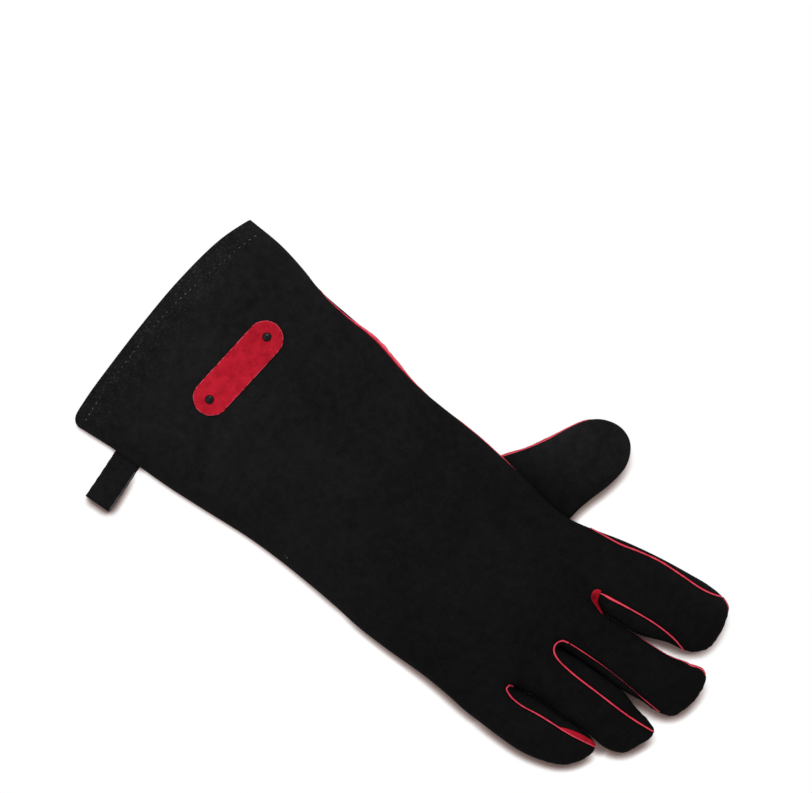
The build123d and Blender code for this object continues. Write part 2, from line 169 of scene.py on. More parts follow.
def smoothstep(value, low, high):
    t = np.clip((value - low) / (high - low), 0, 1)
    return t * t * (3 - 2 * t)


def lumps(points, size, seed):
    """Smooth noise over the plan, about -1 to 1, with lumps of the given size in mm."""
    return np.array([noise.noise(Vector((p[0] / size, p[1] / size, seed))) for p in points])


def unit(vectors):
    return vectors / np.maximum(np.linalg.norm(vectors, axis=1), 1e-9)[:, None]


def leftward(tangent):
    """Unit normals to the left of plan tangents."""
    return unit(np.stack([-tangent[:, 1], tangent[:, 0]], 1))


def closed(outline):
    return np.vstack([outline, outline[:1]])


def sheets(points, *heights):
    """The plan points at each of the given heights, one sheet after the other."""
    return np.vstack([np.column_stack([points, height]) for height in heights])


side_line = smooth(
    RADIAL_SIDE + INDEX_SIDE + CROTCH_INDEX + MIDDLE_SIDE + CROTCH_MIDDLE + RING_SIDE
    + CROTCH_RING + LITTLE_SIDE + ULNAR_SIDE
)
outward = -leftward(np.gradient(side_line, axis=0))
at_tips = (side_line[:, 1] > 182) | ((side_line[:, 0] > 52) & (side_line[:, 1] > 152))
side_line = side_line + outward * (TIP_ROUGHNESS * at_tips * lumps(side_line, 2.6, 5.3))[:, None]
mouth_line = smooth(MOUTH)
glove_outline = np.vstack([side_line, mouth_line[1:-1]])
long_outline = np.vstack([side_line, [(90, -240), (-80, -240)]])
long_side = np.vstack([[(-80, -240)], side_line, [(90, -240)]])
thumb_outline = smooth(THUMB)

# --- welts: the plan lines of the piping on the back of the glove ---
WELT_LINES = {
    "index_radial": [
        (-58.9, 87), (-60.2, 94), (-62.5, 107), (-66.3, 119.5), (-69.4, 132.4), (-70.9, 147.3),
        (-72, 162.1), (-73.6, 169.5), (-75.9, 176),
    ],
    "index_ulnar": [
        (-31.2, 114.6), (-32.2, 118), (-33.0, 123), (-34.4, 130), (-37.2, 147.2), (-38.1, 158),
        (-37.8, 169), (-36, 178.5),
    ],
    "middle_ulnar": [(3.8, 120.5), (3.0, 128), (1.9, 142.5), (1.6, 160), (2.4, 176), (2.6, 190)],
    "ring_radial": [
        (4.0, 119.6), (5.3, 115.8), (9.2, 113.9), (13.1, 115.4), (15.6, 120), (16.9, 131.3),
        (16.7, 154.2), (16.2, 177.2), (14.3, 195),
    ],
    "little_radial": [
        (46.0, 110), (46.8, 107.3), (49.0, 107.2), (51.2, 112), (51.6, 120), (49.4, 133.6),
        (47, 155.1), (43.6, 172.8),
    ],
}
welt_lines = {name: smooth(points, 1.6) for name, points in WELT_LINES.items()}


# --- height of the inflated leather ---
CELL = 1.25  # spacing of the membrane's grid, mm
REACH = 12.0  # how far in from a seam the swelling builds up, mm
EDGE_SLOPE = 0.85  # how steeply it starts at the seam
ROUNDS = 700  # of settling


class Pillow:
    """How far a form swells over its plan: a membrane held at the outline, found on a grid."""

    def __init__(self, outline, edge):
        low, high = outline.min(0) - 2 * CELL, outline.max(0) + 2 * CELL
        nx, ny = (np.ceil((high - low) / CELL) + 1).astype(int)
        xs, ys = low[0] + CELL * np.arange(nx), low[1] + CELL * np.arange(ny)
        grid = np.stack(np.meshgrid(xs, ys, indexing="ij"), -1).reshape(-1, 2)
        within = inside(grid, outline).reshape(nx, ny)
        away = distance(grid, edge).reshape(nx, ny)
        held = ~within | (away < 1.1 * CELL)
        u = np.where(within, EDGE_SLOPE * np.minimum(away, REACH) / REACH, 0.0)
        fixed = u.copy()
        k = (CELL / REACH) ** 2
        for _ in range(ROUNDS):
            around = np.zeros_like(u)
            around[1:-1, 1:-1] = u[2:, 1:-1] + u[:-2, 1:-1] + u[1:-1, 2:] + u[1:-1, :-2]
            u = np.where(held, fixed, (around + k) / (4 + k))
        self.low, self.u, self.edge = low, u, edge

    def swell(self, points, away=None):
        """0 at the outline, towards 1 far inside it."""
        if away is None:
            away = distance(points, self.edge)
        at = (points - self.low) / CELL
        i = np.clip(np.floor(at).astype(int), 0, np.array(self.u.shape) - 2)
        f = at - i
        u00, u10 = self.u[i[:, 0], i[:, 1]], self.u[i[:, 0] + 1, i[:, 1]]
        u01, u11 = self.u[i[:, 0], i[:, 1] + 1], self.u[i[:, 0] + 1, i[:, 1] + 1]
        u = (u00 * (1 - f[:, 0]) + u10 * f[:, 0]) * (1 - f[:, 1])
        u += (u01 * (1 - f[:, 0]) + u11 * f[:, 0]) * f[:, 1]
        share = np.clip((away - 1) / 2.5, 0, 1)
        return np.clip((1 - share) * EDGE_SLOPE * away / REACH + share * u, 0, 1)


glove_pillow = Pillow(long_outline, long_side)
thumb_pillow = Pillow(thumb_outline, closed(thumb_outline))
SWELL = 13.5  # how far the leather swells above the seams, mm
EDGE_ROUND = 9.0  # rounding of the lower edges, mm
THUMB_EDGE_ROUND = 8.5
THUMB_UNDERSIDE = 0.9  # height of the thumb's underside, mm
GROOVE_DEPTH = 1.1  # of the leather beside a welt, mm
GROOVE_WIDTH = 1.5
THUMB_SIDE_RISE = 4.0  # how much higher the seams lie beside the thumb, mm
TIP_DROP = 2.0  # and how much lower at the fingertips, mm
DOME_Y = [-203, -120, -40, 30, 75, 108, 125]
DOME_RISE = [5.5, 8, 8.5, 8, 5.5, 1.5, 0]  # of the glove's middle at each of these y, mm
HIDE_BASE = 0.3  # height of the underside over the table, mm
PATCH_LIFT = 1.4  # how much more of it there is over the red patch, mm


def cuff_middle(y):
    """Middle and half width of the hand and cuff at each y."""
    left = np.interp(y, [p[1] for p in RADIAL_SIDE], [p[0] for p in RADIAL_SIDE])
    right = np.interp(y, [p[1] for p in ULNAR_SIDE[::-1]], [p[0] for p in ULNAR_SIDE[::-1]])
    return (left + right) / 2, (right - left) / 2


def seam_height(p):
    """The seams lie a little higher beside the thumb, and lower at the fingertips."""
    by_thumb = smoothstep(p[:, 1], -10, 25) * (1 - smoothstep(p[:, 1], 76, 105))
    by_thumb *= 1 - smoothstep(p[:, 0], -60, -20)
    tips = smoothstep(p[:, 1], 150, 185)
    return SEAM_Z + THUMB_SIDE_RISE * by_thumb - TIP_DROP * tips


def dome(p):
    """Broad arch of the cuff and the back of the hand."""
    middle, half = cuff_middle(p[:, 1])
    across = np.clip(1 - ((p[:, 0] - middle) / half) ** 2, 0, 1)
    return np.interp(p[:, 1], DOME_Y, DOME_RISE) * across


def groove(p):
    """How far a welt draws the leather in."""
    deep = np.zeros(len(p))
    for line in welt_lines.values():
        deep = np.maximum(deep, np.exp(-((distance(p, line) / GROOVE_WIDTH) ** 2)))
    return GROOVE_DEPTH * deep


def rounded(away, radius):
    """0 at an edge to 1 at the radius, as a quarter circle."""
    return np.sqrt(np.clip(1 - (1 - np.clip(away / radius, 0, 1)) ** 2, 0, 1))


def top_height(p, away=None, with_grooves=False):
    """Height of the back of the glove."""
    swell = glove_pillow.swell(p, away)
    z = seam_height(p) + SWELL * np.sqrt(swell) + dome(p) * np.clip(2.5 * swell, 0, 1)
    soft = 0.7 * lumps(p, 46, 3.1) + 0.35 * lumps(p, 19, 8.7)
    z += soft * np.clip(2 * swell, 0, 1)
    if with_grooves:
        z -= groove(p) * np.clip(6 * swell, 0, 1)
    return z


def base_height(p):
    """How high the underside lies above the table: more where the red patch is under it."""
    on_patch = smoothstep(p[:, 1], -8, 2) * (1 - smoothstep(p[:, 1], 101, 112))
    index = smoothstep(p[:, 1], 95, 110) * (1 - smoothstep(p[:, 0], -30, -24))
    return HIDE_BASE + PATCH_LIFT * np.maximum(on_patch, index)


def bottom_height(p, away=None):
    if away is None:
        away = distance(p, long_side)
    return seam_height(p) - (seam_height(p) - base_height(p)) * rounded(away, EDGE_ROUND)


def thumb_top(p, away=None):
    swell = thumb_pillow.swell(p, away)
    out = smoothstep(-p[:, 0], 50, 84)
    z = THUMB_SEAM_Z + (2.5 + 8.5 * out) * np.sqrt(swell)
    return z + 0.5 * lumps(p, 23, 1.7) * np.clip(2 * swell, 0, 1) * out


def thumb_bottom(p, away=None):
    if away is None:
        away = distance(p, thumb_pillow.edge)
    return THUMB_SEAM_Z - (THUMB_SEAM_Z - THUMB_UNDERSIDE) * rounded(away, THUMB_EDGE_ROUND)


# --- meshes ---
def triangulate(outline, extra=(), cuts=(), spacing=2.4):
    """Fill an outline with triangles, fine along its edge and through the extra points, with
    edges along the cuts. Returns points and triangles."""
    edge = closed(outline)
    low, high = outline.min(0), outline.max(0)
    rows = np.arange(low[1], high[1], spacing * 0.87)
    grid = [
        (x, y)
        for n, y in enumerate(rows)
        for x in np.arange(low[0] + (n % 2) * spacing / 2, high[0], spacing)
    ]
    normal = leftward(np.roll(outline, -1, 0) - np.roll(outline, 1, 0))
    rings = []
    for inset in (0.35, 1.0, 2.1):
        for side in (1, -1):
            ring = outline + normal * inset * side
            ring = ring[inside(ring, outline)]
            rings.append(ring[distance(ring, edge) > 0.85 * inset])
    grid = np.array(grid)
    grid = grid[inside(grid, outline)]
    grid = grid[distance(grid, edge) > 3.0]
    if len(extra):
        extra = extra[inside(extra, outline)]
        extra = extra[distance(extra, edge) > 1.5]
        grid = grid[distance_to_points(grid, extra) > 1.2]
        rings = [r[distance_to_points(r, extra) > 0.6] for r in rings]
    points = np.vstack([outline, *rings, grid] + ([extra] if len(extra) else []))
    points = [Vector(p) for p in points]
    edges = []
    for line in cuts:
        first = len(points)
        points += [Vector(p) for p in line]
        edges += [(first + n, first + n + 1) for n in range(len(line) - 1)]
    face = [list(range(len(outline)))]
    made = geometry.delaunay_2d_cdt(points, edges, face, 1, 1e-4)
    verts = np.array([tuple(v) for v in made[0]])
    tris = [tuple(f) for f in made[2]]
    flat = []
    for a, *rest in tris:
        for b, c in zip(rest, rest[1:]):
            area = np.cross(verts[b] - verts[a], verts[c] - verts[a])
            if abs(area) > 1e-7:
                flat.append((a, b, c) if area > 0 else (a, c, b))
    return verts, np.array(flat)


def distance_to_points(points, others):
    best = np.full(len(points), 1e9)
    for start in range(0, len(points), 2000):
        gap = points[start : start + 2000, None, :] - others[None]
        best[start : start + 2000] = np.sqrt((gap**2).sum(2).min(1))
    return best


def corner_normals(co, tris):
    """Area-weighted vertex normals."""
    a, b, c = co[tris[:, 0]], co[tris[:, 1]], co[tris[:, 2]]
    face = np.cross(b - a, c - a)
    normals = np.zeros_like(co)
    for k in range(3):
        np.add.at(normals, tris[:, k], face)
    return unit(normals)


def new_mesh(name, co, faces, material, normals=None):
    """A shaded mesh object from points in mm."""
    mesh = bpy.data.meshes.new(name)
    points = [tuple(v * MM) for v in np.asarray(co, float)]
    mesh.from_pydata(points, [], [tuple(map(int, f)) for f in faces])
    mesh.polygons.foreach_set("use_smooth", [True] * len(mesh.polygons))
    if normals is not None:
        mesh.normals_split_custom_set_from_vertices([tuple(n) for n in normals])
    mesh.materials.append(material)
    obj = bpy.data.objects.new(name, mesh)
    bpy.context.scene.collection.objects.link(obj)
    return obj


SLITS = ((INDEX_SIDE, MIDDLE_SIDE), (MIDDLE_SIDE, RING_SIDE), (RING_SIDE, LITTLE_SIDE))


def slit_x(number, y):
    """Where the slit between two neighbouring fingers crosses y."""
    # Only the nearly straight stretch of each side, which has one x at each y.
    falling, rising = SLITS[number][0][::-1][:9], SLITS[number][1][:7]
    a = np.interp(y, [p[1] for p in falling], [p[0] for p in falling])
    b = np.interp(y, [p[1] for p in rising], [p[0] for p in rising])
    return (a + b) / 2


def finger_of(x, y):
    """Which finger a plan point past the crotches belongs to."""
    number = sum((x > slit_x(n, y)).astype(int) for n in range(3))
    return np.array(["index", "middle", "ring", "little"])[number]


def regions(p):
    """main, FINGER_base or FINGER_tip for each plan point."""
    finger = finger_of(p[:, 0], p[:, 1])
    root = np.array([ROOTS[f] for f in finger])
    cut = np.array([CUTS[f] for f in finger])
    part = np.where(p[:, 1] < cut, np.char.add(finger, "_base"), np.char.add(finger, "_tip"))
    return np.where(p[:, 1] < root, "main", part)


def attach(obj, region, slot_name, *nodes):
    """Let this stretch of the glove ride with its region's body, or only bake its transform for the
    main, thumb and finger regions, in place of the given CAD nodes. Slot_name is not used."""
    if region == "main":
        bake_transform(obj)
    elif region == "thumb":
        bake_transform(obj)
    elif region.endswith("_base"):
        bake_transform(obj)
    elif region.endswith("_tip"):
        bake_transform(obj)
    else:
        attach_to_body(obj, region)
    if nodes:
        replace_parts(obj, *nodes)


def shell(plan, tris, top, bottom, open_at=None):
    """Join an upper and a lower sheet over one plan. Returns points, faces and each face's
    plan triangle. The sheets share their edge, apart from where open_at says they part."""
    count = len(plan)
    lower = np.arange(count) + count
    shared = (top - bottom) < 1e-6
    if open_at is not None:
        shared &= ~open_at
    lower[shared] = np.arange(count)[shared]
    faces = np.vstack([tris, lower[tris[:, ::-1]]])
    return sheets(plan, top, bottom), faces, np.concatenate([np.arange(len(tris))] * 2)


def cut_out(co, faces, keep, normals):
    """Part of a mesh, with the normals that it has in the whole."""
    used, back = np.unique(faces[keep], return_inverse=True)
    return co[used], back.reshape(-1, 3), normals[used]


def gather(co, faces, part, part_faces):
    """Add a part's points and faces to a larger mesh."""
    faces += [tuple(n + len(co) for n in face) for face in part_faces]
    co += [tuple(point) for point in part]


def ring_quads(rings, sides):
    """Quads between neighbouring rings of points."""
    quads = []
    for n in range(rings - 1):
        for k in range(sides):
            a, b = n * sides + k, n * sides + (k + 1) % sides
            quads.append((a, b, b + sides, a + sides))
    return quads


def compact(co, faces):
    """The points that the faces use, and the faces renumbered."""
    used = sorted({int(n) for face in faces for n in face})
    place = {n: k for k, n in enumerate(used)}
    return co[used], [tuple(place[int(n)] for n in face) for face in faces]


# --- materials ---
LINT = (0.16, 0.16, 0.17, 1)


def material(name):
    made = bpy.data.materials.new(name)
    made.use_nodes = True
    return made, made.node_tree, made.node_tree.nodes["Principled BSDF"]


def feed(node, inputs):
    """Link a node's inputs to sockets, or set them to values."""
    for key, value in inputs.items():
        if isinstance(value, bpy.types.NodeSocket):
            node.id_data.links.new(value, node.inputs[key])
        else:
            node.inputs[key].default_value = value


def add_node(tree, kind, inputs, **settings):
    node = tree.nodes.new("ShaderNode" + kind)
    for key, value in settings.items():
        setattr(node, key, value)
    feed(node, inputs)
    return node


def object_place(tree):
    return add_node(tree, "TexCoord", {}).outputs["Object"]


def grain(tree, where, scale, detail, roughness=0.5, distortion=0.0, output="Fac"):
    """Noise in the material."""
    inputs = {
        "Vector": where, "Scale": scale, "Detail": detail, "Roughness": roughness,
        "Distortion": distortion,
    }
    return add_node(tree, "TexNoise", inputs).outputs[output]


def compute(tree, operation, *values):
    return add_node(tree, "Math", dict(enumerate(values)), operation=operation).outputs[0]


def eased(tree, value, start, end, low, high, interpolation="SMOOTHSTEP"):
    """Low where the value is at start, and high where it is at end."""
    inputs = {"Value": value, "From Min": start, "From Max": end, "To Min": low, "To Max": high}
    return add_node(tree, "MapRange", inputs, interpolation_type=interpolation).outputs["Result"]


def scaled(tree, color, factor):
    return add_node(tree, "VectorMath", {0: color, "Scale": factor}, operation="SCALE").outputs[0]


def mixed(tree, factor, first, second):
    inputs = {"Factor": factor, "A": first, "B": second}
    return add_node(tree, "Mix", inputs, data_type="RGBA").outputs["Result"]


def ramp(tree, value, *stops):
    """A colour that runs through stops of (position, colour)."""
    node = add_node(tree, "ValToRGB", {"Fac": value})
    elements = node.color_ramp.elements
    for element, (position, color) in zip(elements, (stops[0], stops[-1])):
        element.position, element.color = position, (*color, 1)
    for position, color in stops[1:-1]:
        elements.new(position).color = (*color, 1)
    return node.outputs["Color"]


def bumped(tree, height, strength, depth):
    inputs = {"Strength": strength, "Distance": depth, "Height": height}
    return add_node(tree, "Bump", inputs).outputs["Normal"]


def suede(name, dark, light, flecks=0.0, paling=0.0):
    """Split cowhide, with a short nap. Flecks is how many bits of lint lie on it. The last argument
    sets how much paler it is towards the cuff's mouth and on the thumb, and how strongly pale
    specks show at the mouth's edge."""
    made, tree, shader = material(name)
    where = object_place(tree)
    clouds = grain(tree, where, 22, 4, 0.6, 0.6)
    nap = grain(tree, where, 1500, 3, 0.7)
    mottle = grain(tree, where, 190, 3, 0.6)
    calm = compute(tree, "MULTIPLY_ADD", clouds, 0.45, 0.275)
    patchy = compute(tree, "MULTIPLY_ADD", mottle, 0.45, calm)
    fine = compute(tree, "MULTIPLY_ADD", nap, 0.5, patchy)
    hide = ramp(tree, compute(tree, "MULTIPLY", fine, 0.82), (0.62, dark), (1.0, light))

    bend = grain(tree, where, 260, 1, output="Color")
    wander = {0: bend, 1: (0.006,) * 3, 2: where}
    moved = add_node(tree, "VectorMath", wander, operation="MULTIPLY_ADD").outputs[0]
    lint = add_node(tree, "TexVoronoi", {"Vector": moved, "Scale": 70, "Randomness": 1})
    near = compute(tree, "LESS_THAN", lint.outputs["Distance"], 0.022)
    pick = add_node(tree, "SeparateColor", {0: lint.outputs["Color"]}).outputs[0]
    has_lint = compute(tree, "MULTIPLY", near, compute(tree, "LESS_THAN", pick, flecks))

    place = add_node(tree, "SeparateXYZ", {0: where}).outputs
    to_cuff = eased(tree, place["Y"], 0.17, -0.21, 1 - paling, 1 + 1.2 * paling)
    to_thumb = eased(tree, place["X"], -0.058, -0.095, 0, 2.2 * paling)
    lift = compute(tree, "ADD", to_cuff, to_thumb)
    raised = eased(tree, grain(tree, where, 800, 2, 0.6), 0.52, 0.72, 0, 1)
    at_mouth_edge = eased(tree, place["Y"], -0.17, -0.202, 0.9 * paling, 9 * paling)
    specks = compute(tree, "MULTIPLY_ADD", raised, at_mouth_edge, lift)
    feed(shader, {
        "Base Color": mixed(tree, has_lint, scaled(tree, hide, specks), LINT),
        "Normal": bumped(tree, compute(tree, "MULTIPLY_ADD", nap, 0.6, mottle), 0.55, 0.00035),
        "Roughness": 0.95, "Specular IOR Level": 0.06,
        "Sheen Weight": 0.05, "Sheen Roughness": 0.5, "Sheen Tint": (*light, 1),
    })
    return made


def woven(name, dark, light, scale):
    """Plain woven or brushed cloth."""
    made, tree, shader = material(name)
    where = object_place(tree)
    inputs = {"Vector": where, "Scale": scale, "Distortion": 1.5}
    warp, weft = (
        add_node(tree, "TexWave", inputs, bands_direction=way).outputs["Fac"] for way in "XY"
    )
    over = compute(tree, "MAXIMUM", warp, weft)
    yarn = compute(tree, "MULTIPLY", over, grain(tree, where, 700, 3))
    feed(shader, {
        "Base Color": ramp(tree, yarn, (0.2, dark), (0.7, light)),
        "Normal": bumped(tree, yarn, 0.6, 0.0003),
        "Roughness": 0.95, "Sheen Weight": 0.3,
    })
    return made


def varnished(name, color, rough, metal=0.0, gloss=0.3):
    """Painted or bare metal with faint handling marks."""
    made, tree, shader = material(name)
    marks = grain(tree, object_place(tree), 900, 3)
    dull, bright = [c * 0.75 for c in color], [min(1, c * 1.3) for c in color]
    feed(shader, {
        "Base Color": ramp(tree, marks, (0.0, dull), (1.0, bright)),
        "Roughness": eased(tree, marks, 0, 1, rough * 0.8, rough * 1.3, "LINEAR"),
        "Metallic": metal, "Specular IOR Level": gloss,
    })
    return made


black_suede = suede(
    "black_suede", (0.0018, 0.0018, 0.0019), (0.0075, 0.0074, 0.0078), flecks=0.10, paling=0.34
)
red_suede = suede("red_suede", (0.16, 0.002, 0.006), (0.49, 0.012, 0.028))
red_piping = suede("red_piping", (0.20, 0.003, 0.009), (0.50, 0.012, 0.03))
# A paler red: a painted highlight along the top of the welts, and also the label's pale rim here
# and there.
red_highlight_and_pale_rim = suede("red_highlight_and_pale_rim", (0.42, 0.020, 0.045), (0.80, 0.11, 0.16))
cut_edge = suede("cut_edge", (0.03, 0.03, 0.032), (0.10, 0.10, 0.105))
cotton = woven("cotton_lining", (0.006, 0.006, 0.0065), (0.024, 0.024, 0.026), 900)
fleece = woven("fleece_lining", (0.02, 0.02, 0.021), (0.07, 0.07, 0.072), 300)
grey_thread = woven("grey_thread", (0.012, 0.012, 0.012), (0.10, 0.10, 0.105), 2500)
dark_thread = woven("dark_thread", (0.02, 0.008, 0.009), (0.09, 0.03, 0.033), 2500)
black_paint = varnished("black_rivet", (0.0030, 0.0018, 0.0016), 0.16, gloss=0.16)
steel = varnished("steel_rivet", (0.45, 0.45, 0.46), 0.35, 1.0)

# --- the leather body ---
welt_band = np.vstack([
    line + leftward(np.gradient(line, axis=0)) * shift
    for line in welt_lines.values()
    for shift in (-2.6, -1.3, 0, 1.3, 2.6)
])
kept = [0]
for n in range(1, len(welt_band)):
    if np.min(np.linalg.norm(welt_band[kept] - welt_band[n], axis=1)) > 0.9:
        kept.append(n)
welt_band = welt_band[kept]

cut_lines = []
for number, finger in enumerate(ROOTS):
    for height in (ROOTS[finger], CUTS[finger]):
        x0 = slit_x(number - 1, height) if number > 0 else -90
        x1 = slit_x(number, height) if number < 3 else 90
        cut_lines.append(np.array([(x, height) for x in [*np.arange(x0, x1 - 0.8, 1.7), x1]]))

plan, plan_tris = triangulate(glove_outline, welt_band, cut_lines)
count = len(plan)
edge_away = distance(plan, long_side)
mouth_away = distance(plan, mouth_line)
at_mouth = (mouth_away < 0.01) & (edge_away > 0.5)
top = top_height(plan, edge_away, with_grooves=True)
bottom = bottom_height(plan, edge_away)
on_edge = edge_away < 0.01
top[on_edge] = bottom[on_edge] = seam_height(plan)[on_edge]
glove_co, glove_faces, face_plan = shell(plan, plan_tris, top, bottom, at_mouth)
glove_normals = corner_normals(glove_co, glove_faces)
centres = plan[plan_tris].mean(1)
tri_region = regions(centres)

REGION_NODES = {
    "main": ["cuff_back", "cuff_palm", "hand_back", "hand_palm"],
    **{part: [part + "_back", part + "_palm"] for part in FINGER_PARTS},
}
for region, nodes in REGION_NODES.items():
    keep = (tri_region == region)[face_plan]
    co, faces, normals = cut_out(glove_co, glove_faces, keep, glove_normals)
    piece = new_mesh("leather_" + region, co, faces, black_suede, normals)
    attach(piece, region, "black_suede", *nodes)


# The hide's inner side, and its cut edge round the mouth.
def inner_sheets(inset):
    """Heights of the upper and lower sheets moved inwards, meeting near the seams."""
    middle = (top + bottom) / 2
    return np.maximum(top - inset, middle), np.minimum(bottom + inset, middle)


def strip_between(first, second, order):
    """Quads between two rows of points that run in the given order."""
    return [(first[a], first[b], second[b], second[a]) for a, b in zip(order, order[1:])]


rim_order = [n for n in np.argsort(plan[:, 0]) if mouth_away[n] < 0.01]
near_mouth = (centres[:, 1] < -176) & (tri_region == "main")
rim_faces = [tuple(f) for f in (plan_tris[near_mouth][:, ::-1] + 2 * count)]
rim_faces += [tuple(f) for f in (plan_tris[near_mouth] + 3 * count)]
index = np.arange(count)
rim_faces += strip_between(index, index + 2 * count, rim_order)
rim_faces += strip_between(index + 3 * count, index + count, rim_order)
rim_co = sheets(plan, top, bottom, *inner_sheets(LEATHER))
attach(new_mesh("mouth_edge", *compact(rim_co, rim_faces), black_suede), "main", "black_suede")


def lining_piece(name, keep, cloth, region, slot_name, node):
    """The inner face of a lining, as upper and lower sheets that meet at the sides."""
    faces = np.vstack([plan_tris[keep][:, ::-1], plan_tris[keep] + count])
    co = sheets(plan, *inner_sheets(LEATHER + LINING))
    attach(new_mesh(name, *compact(co, faces), cloth), region, slot_name, node)


behind_mouth = np.array([mouth_away[list(t)].min() > 1.6 for t in plan_tris])
in_cuff = (centres[:, 1] < 2) & behind_mouth
in_hand = (centres[:, 1] >= 2) & (tri_region == "main")
lining_piece("cuff_cloth", in_cuff, cotton, "main", "cotton_lining", "cuff_lining")
lining_piece("hand_fleece", in_hand, fleece, "main", "fleece_lining", "hand_lining")
for region in FINGER_PARTS:
    finger, part = region.split("_")
    name, node = f"{finger}_fleece_{part}", f"{finger}_lining"
    lining_piece(name, tri_region == region, fleece, region, "fleece_lining", node)

# --- thumb ---
thumb_plan, thumb_tris = triangulate(thumb_outline, spacing=2.2)
thumb_away = distance(thumb_plan, thumb_pillow.edge)
thumb_upper, thumb_lower = thumb_top(thumb_plan, thumb_away), thumb_bottom(thumb_plan, thumb_away)
rim_of_thumb = thumb_away < 0.01
thumb_upper[rim_of_thumb] = thumb_lower[rim_of_thumb] = THUMB_SEAM_Z
thumb_co, thumb_faces, _ = shell(thumb_plan, thumb_tris, thumb_upper, thumb_lower)
thumb_normals = corner_normals(thumb_co, thumb_faces)
thumb = new_mesh("leather_thumb", thumb_co, thumb_faces, black_suede, thumb_normals)
attach(thumb, "thumb", "black_suede", "thumb_back", "thumb_palm")
middle = (thumb_upper + thumb_lower) / 2
inset = LEATHER + LINING
inner_upper = np.maximum(thumb_upper - inset, middle)
inner_lower = np.minimum(thumb_lower + inset, middle)
inner_co = sheets(thumb_plan, inner_upper, inner_lower)
inner_faces = np.vstack([thumb_tris[:, ::-1], thumb_tris + len(thumb_plan)])
thumb_fleece = new_mesh("thumb_fleece", inner_co, inner_faces, fleece)
attach(thumb_fleece, "thumb", "fleece_lining", "thumb_lining")


# --- piping ---
BEAD_SIDES = 12
WOBBLE = 0.22  # share by which the hand-trimmed piping varies in width


def tube_mesh(path, radii, flat=1.0, sides=BEAD_SIDES):
    """Points and faces of a bead along a 3D path in mm, flattened by flat."""
    along = unit(np.gradient(path, axis=0))
    side = unit(np.cross(along, (0, 0, 1.0)))
    up = np.cross(side, along)
    angles = np.linspace(0, 2 * math.pi, sides, endpoint=False)
    co = []
    for p, s, u, r in zip(path, side, up, radii):
        co += [p + s * r * math.cos(a) + u * r * flat * math.sin(a) for a in angles]
    faces = ring_quads(len(path), sides)
    faces.append(tuple(range(sides)))
    faces.append(tuple((len(path) - 1) * sides + k for k in reversed(range(sides))))
    return np.array(co), faces


def split_by_region(path):
    """Stretches of a path in one region each, meeting exactly where the regions do."""
    found, current = [], [path[0]]
    where = regions(path[:, :2])
    for n in range(1, len(path)):
        if where[n] != where[n - 1]:
            a, b = path[n - 1], path[n]
            finger = (where[n] if where[n] != "main" else where[n - 1]).split("_")[0]
            heights = (ROOTS[finger], CUTS[finger])
            crossing = [h for h in heights if min(a[1], b[1]) <= h <= max(a[1], b[1])]
            share = (crossing[0] - a[1]) / (b[1] - a[1]) if crossing else 0.5
            border = a + (b - a) * share
            current.append(border)
            found.append((where[n - 1], np.array(current)))
            current = [border]
        current.append(path[n])
    found.append((where[-1], np.array(current)))
    return [(r, s) for r, s in found if len(s) > 2]


def beads(name, path, radius, region=None, lit=(2, 3)):
    """Red piping along a path, one piece for each region that it crosses. The sides of a bead
    listed in lit carry a painted highlight in a paler red. Returns (region, piece) pairs."""
    made = []
    stretches = [(region, path)] if region else split_by_region(path)
    for number, (where, stretch) in enumerate(stretches):
        radii = radius(stretch) if callable(radius) else np.full(len(stretch), radius)
        broad, fine = lumps(stretch[:, :2], 5.0, 4.4), lumps(stretch[:, :2], 1.9, 9.2)
        radii = radii * (1 + WOBBLE * broad + WOBBLE * fine)
        piece = new_mesh(f"{name}_{where}_{number}", *tube_mesh(stretch, radii), red_piping)
        piece.data.materials.append(red_highlight_and_pale_rim)
        side_count = BEAD_SIDES * (len(stretch) - 1)
        # Painted highlight: the sides listed in lit take the paler red.
        crest = [n % BEAD_SIDES in lit and n < side_count for n in range(len(piece.data.polygons))]
        piece.data.polygons.foreach_set("material_index", crest)
        attach(piece, where, "red_piping")
        made.append((where, piece))
    return made


def side_stretch(start, end, lean):
    """Part of the glove's side line between two plan points. Lean says how many mm it lies in
    from the edge: on the upper side if positive, on the under side if negative."""
    a = np.argmin(np.linalg.norm(side_line - start, axis=1))
    b = np.argmin(np.linalg.norm(side_line - end, axis=1))
    line = side_line[min(a, b) : max(a, b) + 1]
    lean = lean(line) if callable(lean) else np.full(len(line), lean)
    moved = line - leftward(np.gradient(line, axis=0)) * np.abs(lean)[:, None]
    upper = np.where(lean > 0, top_height(moved), seam_height(line))
    return np.column_stack([moved, np.where(lean < 0, bottom_height(moved), upper)])


def along_y(heights, values):
    """A function of plan or 3D points that runs through the values at the given heights."""
    return lambda points: np.interp(points[:, 1], heights, values)


WELT_RADII = {
    "index_radial": along_y([87, 95, 110, 176], [0.35, 0.5, 0.62, 0.6]),
    "index_ulnar": along_y(
        [114, 118, 121, 128, 136, 150, 165, 178], [0.3, 0.45, 0.85, 0.8, 0.5, 0.5, 0.62, 0.4]
    ),
    "middle_ulnar": along_y([120, 136, 150, 172, 180, 190], [0.38, 0.32, 0.06, 0.06, 0.34, 0.3]),
    "ring_radial": along_y([114, 195], [0.6, 0.58]),
    "little_radial": along_y([107, 173], [0.5, 0.56]),
}
welts = []
for name, line in welt_lines.items():
    path = np.column_stack([line, top_height(line) + 0.1])
    welts += beads("welt_" + name, path, WELT_RADII[name])

